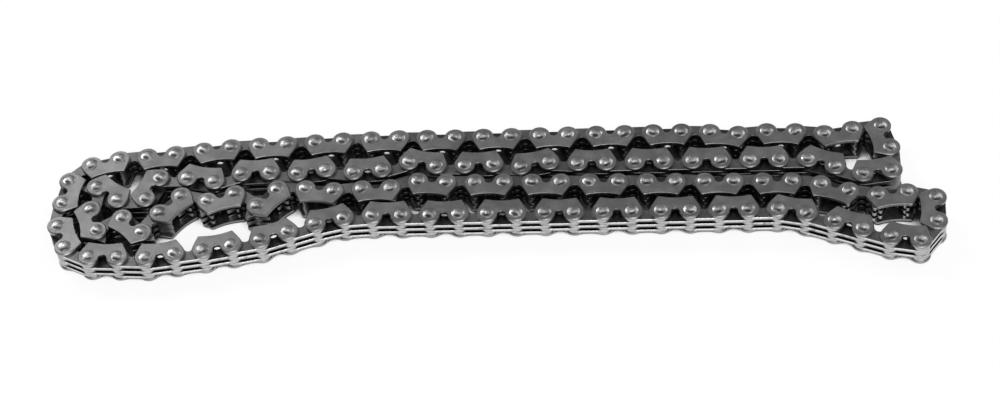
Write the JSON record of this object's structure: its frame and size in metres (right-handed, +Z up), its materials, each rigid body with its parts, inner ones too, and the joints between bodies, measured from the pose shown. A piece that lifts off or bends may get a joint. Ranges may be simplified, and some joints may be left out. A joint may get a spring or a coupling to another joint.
{
  "type": "timing chain",
  "caption": "Endless silent timing chain with toothed link plates, guide plates on both sides and riveted pins, lying on its side folded into long strands.",
  "frame": {"origin": "middle of the chain's outline, on the surface that it lies on, at the bottom ends of the pins", "axes": "+X along the long strands, +Y across them towards the back strand, +Z up along the pins, across the chain's width"},
  "size_m": [0.198, 0.0394, 0.0069],
  "materials": {
    "guide_plate_steel": "satin, lightly oiled",
    "toothed_plate_steel": "satin with bright ground edges",
    "pin_steel": "rough riveted ends",
    "guide_link_steel": "satin plates with riveted pin ends"
  },
  "bodies": {
    "inner_run": {"inner_run_guide_plates": "guide_plate_steel", "inner_run_toothed_plates": "toothed_plate_steel", "inner_run_pins": "pin_steel"},
    "upper_guide_link_02": {"upper_guide_link_02": "guide_link_steel"},
    "upper_inner_link_02": {"upper_inner_link_02": "toothed_plate_steel"},
    "upper_guide_link_03": {"upper_guide_link_03": "guide_link_steel"},
    "upper_inner_link_03": {"upper_inner_link_03": "toothed_plate_steel"},
    "upper_guide_link_04": {"upper_guide_link_04": "guide_link_steel"},
    "upper_inner_link_04": {"upper_inner_link_04": "toothed_plate_steel"},
    "upper_guide_link_05": {"upper_guide_link_05": "guide_link_steel"},
    "upper_inner_link_05": {"upper_inner_link_05": "toothed_plate_steel"},
    "upper_guide_link_06": {"upper_guide_link_06": "guide_link_steel"},
    "upper_inner_link_06": {"upper_inner_link_06": "toothed_plate_steel"},
    "upper_guide_link_07": {"upper_guide_link_07": "guide_link_steel"},
    "upper_inner_link_07": {"upper_inner_link_07": "toothed_plate_steel"},
    "upper_guide_link_08": {"upper_guide_link_08": "guide_link_steel"},
    "upper_inner_link_08": {"upper_inner_link_08": "toothed_plate_steel"},
    "upper_guide_link_09": {"upper_guide_link_09": "guide_link_steel"},
    "upper_inner_link_09": {"upper_inner_link_09": "toothed_plate_steel"},
    "upper_guide_link_10": {"upper_guide_link_10": "guide_link_steel"},
    "upper_inner_link_10": {"upper_inner_link_10": "toothed_plate_steel"},
    "upper_guide_link_11": {"upper_guide_link_11": "guide_link_steel"},
    "upper_inner_link_11": {"upper_inner_link_11": "toothed_plate_steel"},
    "upper_guide_link_12": {"upper_guide_link_12": "guide_link_steel"},
    "upper_inner_link_12": {"upper_inner_link_12": "toothed_plate_steel"},
    "upper_guide_link_13": {"upper_guide_link_13": "guide_link_steel"},
    "upper_inner_link_13": {"upper_inner_link_13": "toothed_plate_steel"},
    "upper_guide_link_14": {"upper_guide_link_14": "guide_link_steel"},
    "upper_inner_link_14": {"upper_inner_link_14": "toothed_plate_steel"},
    "upper_guide_link_15": {"upper_guide_link_15": "guide_link_steel"},
    "upper_inner_link_15": {"upper_inner_link_15": "toothed_plate_steel"},
    "lower_guide_link_30": {"lower_guide_link_30": "guide_link_steel"},
    "lower_inner_link_29": {"lower_inner_link_29": "toothed_plate_steel"},
    "lower_guide_link_29": {"lower_guide_link_29": "guide_link_steel"},
    "lower_inner_link_28": {"lower_inner_link_28": "toothed_plate_steel"},
    "lower_guide_link_28": {"lower_guide_link_28": "guide_link_steel"},
    "lower_inner_link_27": {"lower_inner_link_27": "toothed_plate_steel"},
    "lower_guide_link_27": {"lower_guide_link_27": "guide_link_steel"},
    "lower_inner_link_26": {"lower_inner_link_26": "toothed_plate_steel"},
    "lower_guide_link_26": {"lower_guide_link_26": "guide_link_steel"},
    "lower_inner_link_25": {"lower_inner_link_25": "toothed_plate_steel"},
    "lower_guide_link_25": {"lower_guide_link_25": "guide_link_steel"},
    "lower_inner_link_24": {"lower_inner_link_24": "toothed_plate_steel"},
    "lower_guide_link_24": {"lower_guide_link_24": "guide_link_steel"},
    "lower_inner_link_23": {"lower_inner_link_23": "toothed_plate_steel"},
    "lower_guide_link_23": {"lower_guide_link_23": "guide_link_steel"},
    "lower_inner_link_22": {"lower_inner_link_22": "toothed_plate_steel"},
    "lower_guide_link_22": {"lower_guide_link_22": "guide_link_steel"},
    "lower_inner_link_21": {"lower_inner_link_21": "toothed_plate_steel"},
    "lower_guide_link_21": {"lower_guide_link_21": "guide_link_steel"},
    "lower_inner_link_20": {"lower_inner_link_20": "toothed_plate_steel"},
    "lower_guide_link_20": {"lower_guide_link_20": "guide_link_steel"},
    "lower_inner_link_19": {"lower_inner_link_19": "toothed_plate_steel"},
    "lower_guide_link_19": {"lower_guide_link_19": "guide_link_steel"},
    "lower_inner_link_18": {"lower_inner_link_18": "toothed_plate_steel"},
    "lower_guide_link_18": {"lower_guide_link_18": "guide_link_steel"},
    "lower_inner_link_17": {"lower_inner_link_17": "toothed_plate_steel"},
    "lower_guide_link_17": {"lower_guide_link_17": "guide_link_steel"},
    "lower_inner_link_16": {"lower_inner_link_16": "toothed_plate_steel"},
    "lower_guide_link_16": {"lower_guide_link_16": "guide_link_steel"}
  },
  "joints": [
    {"name": "upper_guide_hinge_02", "type": "hinge", "parent": "inner_run", "child": "upper_guide_link_02", "pos_m": [0.06683, 0.016, 0.00343], "axis": [0, 0, -1], "range_deg": [0, 8]},
    {"name": "upper_inner_hinge_02", "type": "hinge", "parent": "upper_guide_link_02", "child": "upper_inner_link_02", "pos_m": [0.06048, 0.01611, 0.00343], "axis": [0, 0, -1], "range_deg": [0, 8]},
    {"name": "upper_guide_hinge_03", "type": "hinge", "parent": "upper_inner_link_02", "child": "upper_guide_link_03", "pos_m": [0.05416, 0.01545, 0.00343], "axis": [0, 0, -1], "range_deg": [0, 8]},
    {"name": "upper_inner_hinge_03", "type": "hinge", "parent": "upper_guide_link_03", "child": "upper_inner_link_03", "pos_m": [0.04785, 0.01611, 0.00343], "axis": [0, 0, -1], "range_deg": [0, 8]},
    {"name": "upper_guide_hinge_04", "type": "hinge", "parent": "upper_inner_link_03", "child": "upper_guide_link_04", "pos_m": [0.0415, 0.01633, 0.00343], "axis": [0, 0, -1], "range_deg": [0, 8]},
    {"name": "upper_inner_hinge_04", "type": "hinge", "parent": "upper_guide_link_04", "child": "upper_inner_link_04", "pos_m": [0.03515, 0.01622, 0.00343], "axis": [0, 0, -1], "range_deg": [0, 8]},
    {"name": "upper_guide_hinge_05", "type": "hinge", "parent": "upper_inner_link_04", "child": "upper_guide_link_05", "pos_m": [0.0288, 0.01611, 0.00343], "axis": [0, 0, -1], "range_deg": [0, 8]},
    {"name": "upper_inner_hinge_05", "type": "hinge", "parent": "upper_guide_link_05", "child": "upper_inner_link_05", "pos_m": [0.02246, 0.016, 0.00343], "axis": [0, 0, -1], "range_deg": [0, 8]},
    {"name": "upper_guide_hinge_06", "type": "hinge", "parent": "upper_inner_link_05", "child": "upper_guide_link_06", "pos_m": [0.01611, 0.01589, 0.00343], "axis": [0, 0, -1], "range_deg": [0, 8]},
    {"name": "upper_inner_hinge_06", "type": "hinge", "parent": "upper_guide_link_06", "child": "upper_inner_link_06", "pos_m": [0.00976, 0.01578, 0.00343], "axis": [0, 0, -1], "range_deg": [0, 8]},
    {"name": "upper_guide_hinge_07", "type": "hinge", "parent": "upper_inner_link_06", "child": "upper_guide_link_07", "pos_m": [0.00341, 0.01567, 0.00343], "axis": [0, 0, -1], "range_deg": [0, 8]},
    {"name": "upper_inner_hinge_07", "type": "hinge", "parent": "upper_guide_link_07", "child": "upper_inner_link_07", "pos_m": [-0.00294, 0.01556, 0.00343], "axis": [0, 0, -1], "range_deg": [0, 8]},
    {"name": "upper_guide_hinge_08", "type": "hinge", "parent": "upper_inner_link_07", "child": "upper_guide_link_08", "pos_m": [-0.00929, 0.01545, 0.00343], "axis": [0, 0, -1], "range_deg": [0, 8]},
    {"name": "upper_inner_hinge_08", "type": "hinge", "parent": "upper_guide_link_08", "child": "upper_inner_link_08", "pos_m": [-0.01564, 0.01545, 0.00343], "axis": [0, 0, -1], "range_deg": [0, 8]},
    {"name": "upper_guide_hinge_09", "type": "hinge", "parent": "upper_inner_link_08", "child": "upper_guide_link_09", "pos_m": [-0.02199, 0.01545, 0.00343], "axis": [0, 0, -1], "range_deg": [0, 8]},
    {"name": "upper_inner_hinge_09", "type": "hinge", "parent": "upper_guide_link_09", "child": "upper_inner_link_09", "pos_m": [-0.02834, 0.01523, 0.00343], "axis": [0, 0, -1], "range_deg": [0, 8]},
    {"name": "upper_guide_hinge_10", "type": "hinge", "parent": "upper_inner_link_09", "child": "upper_guide_link_10", "pos_m": [-0.03468, 0.015, 0.00343], "axis": [0, 0, -1], "range_deg": [0, 8]},
    {"name": "upper_inner_hinge_10", "type": "hinge", "parent": "upper_guide_link_10", "child": "upper_inner_link_10", "pos_m": [-0.04102, 0.01456, 0.00343], "axis": [0, 0, -1], "range_deg": [0, 8]},
    {"name": "upper_guide_hinge_11", "type": "hinge", "parent": "upper_inner_link_10", "child": "upper_guide_link_11", "pos_m": [-0.04735, 0.01412, 0.00343], "axis": [0, 0, -1], "range_deg": [0, 8]},
    {"name": "upper_inner_hinge_11", "type": "hinge", "parent": "upper_guide_link_11", "child": "upper_inner_link_11", "pos_m": [-0.05369, 0.01379, 0.00343], "axis": [0, 0, -1], "range_deg": [0, 8]},
    {"name": "upper_guide_hinge_12", "type": "hinge", "parent": "upper_inner_link_11", "child": "upper_guide_link_12", "pos_m": [-0.06003, 0.01345, 0.00343], "axis": [0, 0, -1], "range_deg": [0, 8]},
    {"name": "upper_inner_hinge_12", "type": "hinge", "parent": "upper_guide_link_12", "child": "upper_inner_link_12", "pos_m": [-0.06632, 0.01257, 0.00343], "axis": [0, 0, -1], "range_deg": [0, 8]},
    {"name": "upper_guide_hinge_13", "type": "hinge", "parent": "upper_inner_link_12", "child": "upper_guide_link_13", "pos_m": [-0.07261, 0.01169, 0.00343], "axis": [0, 0, -1], "range_deg": [0, 8]},
    {"name": "upper_inner_hinge_13", "type": "hinge", "parent": "upper_guide_link_13", "child": "upper_inner_link_13", "pos_m": [-0.07892, 0.01102, 0.00343], "axis": [0, 0, -1], "range_deg": [0, 8]},
    {"name": "upper_guide_hinge_14", "type": "hinge", "parent": "upper_inner_link_13", "child": "upper_guide_link_14", "pos_m": [-0.08524, 0.01036, 0.00343], "axis": [0, 0, -1], "range_deg": [0, 8]},
    {"name": "upper_inner_hinge_14", "type": "hinge", "parent": "upper_guide_link_14", "child": "upper_inner_link_14", "pos_m": [-0.09137, 0.00872, 0.00343], "axis": [0, 0, -1], "range_deg": [0, 8]},
    {"name": "upper_guide_hinge_15", "type": "hinge", "parent": "upper_inner_link_14", "child": "upper_guide_link_15", "pos_m": [-0.09586, 0.00423, 0.00343], "axis": [0, 0, -1], "range_deg": [0, 8]},
    {"name": "upper_inner_hinge_15", "type": "hinge", "parent": "upper_guide_link_15", "child": "upper_inner_link_15", "pos_m": [-0.09653, -0.00209, 0.00343], "axis": [0, 0, -1], "range_deg": [0, 8]},
    {"name": "lower_guide_hinge_30", "type": "hinge", "parent": "inner_run", "child": "lower_guide_link_30", "pos_m": [0.08067, -0.01112, 0.00343], "axis": [0, 0, 1], "range_deg": [0, 8]},
    {"name": "lower_inner_hinge_29", "type": "hinge", "parent": "lower_guide_link_30", "child": "lower_inner_link_29", "pos_m": [0.0747, -0.00895, 0.00343], "axis": [0, 0, 1], "range_deg": [0, 8]},
    {"name": "lower_guide_hinge_29", "type": "hinge", "parent": "lower_inner_link_29", "child": "lower_guide_link_29", "pos_m": [0.06873, -0.00677, 0.00343], "axis": [0, 0, 1], "range_deg": [0, 8]},
    {"name": "lower_inner_hinge_28", "type": "hinge", "parent": "lower_guide_link_29", "child": "lower_inner_link_28", "pos_m": [0.0625, -0.00556, 0.00343], "axis": [0, 0, 1], "range_deg": [0, 8]},
    {"name": "lower_guide_hinge_28", "type": "hinge", "parent": "lower_inner_link_28", "child": "lower_guide_link_28", "pos_m": [0.05615, -0.00562, 0.00343], "axis": [0, 0, 1], "range_deg": [0, 8]},
    {"name": "lower_inner_hinge_27", "type": "hinge", "parent": "lower_guide_link_28", "child": "lower_inner_link_27", "pos_m": [0.0498, -0.00567, 0.00343], "axis": [0, 0, 1], "range_deg": [0, 8]},
    {"name": "lower_guide_hinge_27", "type": "hinge", "parent": "lower_inner_link_27", "child": "lower_guide_link_27", "pos_m": [0.04345, -0.00573, 0.00343], "axis": [0, 0, 1], "range_deg": [0, 8]},
    {"name": "lower_inner_hinge_26", "type": "hinge", "parent": "lower_guide_link_27", "child": "lower_inner_link_26", "pos_m": [0.0371, -0.00578, 0.00343], "axis": [0, 0, 1], "range_deg": [0, 8]},
    {"name": "lower_guide_hinge_26", "type": "hinge", "parent": "lower_inner_link_26", "child": "lower_guide_link_26", "pos_m": [0.03075, -0.00584, 0.00343], "axis": [0, 0, 1], "range_deg": [0, 8]},
    {"name": "lower_inner_hinge_25", "type": "hinge", "parent": "lower_guide_link_26", "child": "lower_inner_link_25", "pos_m": [0.0244, -0.0059, 0.00343], "axis": [0, 0, 1], "range_deg": [0, 8]},
    {"name": "lower_guide_hinge_25", "type": "hinge", "parent": "lower_inner_link_25", "child": "lower_guide_link_25", "pos_m": [0.01805, -0.00595, 0.00343], "axis": [0, 0, 1], "range_deg": [0, 8]},
    {"name": "lower_inner_hinge_24", "type": "hinge", "parent": "lower_guide_link_25", "child": "lower_inner_link_24", "pos_m": [0.0117, -0.00601, 0.00343], "axis": [0, 0, 1], "range_deg": [0, 8]},
    {"name": "lower_guide_hinge_24", "type": "hinge", "parent": "lower_inner_link_24", "child": "lower_guide_link_24", "pos_m": [0.00535, -0.00606, 0.00343], "axis": [0, 0, 1], "range_deg": [0, 8]},
    {"name": "lower_inner_hinge_23", "type": "hinge", "parent": "lower_guide_link_24", "child": "lower_inner_link_23", "pos_m": [-0.001, -0.00612, 0.00343], "axis": [0, 0, 1], "range_deg": [0, 8]},
    {"name": "lower_guide_hinge_23", "type": "hinge", "parent": "lower_inner_link_23", "child": "lower_guide_link_23", "pos_m": [-0.00735, -0.00617, 0.00343], "axis": [0, 0, 1], "range_deg": [0, 8]},
    {"name": "lower_inner_hinge_22", "type": "hinge", "parent": "lower_guide_link_23", "child": "lower_inner_link_22", "pos_m": [-0.0137, -0.00623, 0.00343], "axis": [0, 0, 1], "range_deg": [0, 8]},
    {"name": "lower_guide_hinge_22", "type": "hinge", "parent": "lower_inner_link_22", "child": "lower_guide_link_22", "pos_m": [-0.02005, -0.00628, 0.00343], "axis": [0, 0, 1], "range_deg": [0, 8]},
    {"name": "lower_inner_hinge_21", "type": "hinge", "parent": "lower_guide_link_22", "child": "lower_inner_link_21", "pos_m": [-0.0264, -0.00634, 0.00343], "axis": [0, 0, 1], "range_deg": [0, 8]},
    {"name": "lower_guide_hinge_21", "type": "hinge", "parent": "lower_inner_link_21", "child": "lower_guide_link_21", "pos_m": [-0.03273, -0.00678, 0.00343], "axis": [0, 0, 1], "range_deg": [0, 8]},
    {"name": "lower_inner_hinge_20", "type": "hinge", "parent": "lower_guide_link_21", "child": "lower_inner_link_20", "pos_m": [-0.03886, -0.00843, 0.00343], "axis": [0, 0, 1], "range_deg": [0, 8]},
    {"name": "lower_guide_hinge_20", "type": "hinge", "parent": "lower_inner_link_20", "child": "lower_guide_link_20", "pos_m": [-0.04483, -0.0106, 0.00343], "axis": [0, 0, 1], "range_deg": [0, 8]},
    {"name": "lower_inner_hinge_19", "type": "hinge", "parent": "lower_guide_link_20", "child": "lower_inner_link_19", "pos_m": [-0.0508, -0.01277, 0.00343], "axis": [0, 0, 1], "range_deg": [0, 8]},
    {"name": "lower_guide_hinge_19", "type": "hinge", "parent": "lower_inner_link_19", "child": "lower_guide_link_19", "pos_m": [-0.05701, -0.01409, 0.00343], "axis": [0, 0, 1], "range_deg": [0, 8]},
    {"name": "lower_inner_hinge_18", "type": "hinge", "parent": "lower_guide_link_19", "child": "lower_inner_link_18", "pos_m": [-0.06322, -0.01541, 0.00343], "axis": [0, 0, 1], "range_deg": [0, 8]},
    {"name": "lower_guide_hinge_18", "type": "hinge", "parent": "lower_inner_link_18", "child": "lower_guide_link_18", "pos_m": [-0.06949, -0.0164, 0.00343], "axis": [0, 0, 1], "range_deg": [0, 8]},
    {"name": "lower_inner_hinge_17", "type": "hinge", "parent": "lower_guide_link_18", "child": "lower_inner_link_17", "pos_m": [-0.07576, -0.0174, 0.00343], "axis": [0, 0, 1], "range_deg": [0, 8]},
    {"name": "lower_guide_hinge_17", "type": "hinge", "parent": "lower_inner_link_17", "child": "lower_guide_link_17", "pos_m": [-0.08211, -0.01717, 0.00343], "axis": [0, 0, 1], "range_deg": [0, 8]},
    {"name": "lower_inner_hinge_16", "type": "hinge", "parent": "lower_guide_link_17", "child": "lower_inner_link_16", "pos_m": [-0.08846, -0.01695, 0.00343], "axis": [0, 0, 1], "range_deg": [0, 8]},
    {"name": "lower_guide_hinge_16", "type": "hinge", "parent": "lower_inner_link_16", "child": "lower_guide_link_16", "pos_m": [-0.09421, -0.01427, 0.00343], "axis": [0, 0, 1], "range_deg": [0, 8]}
  ]
}
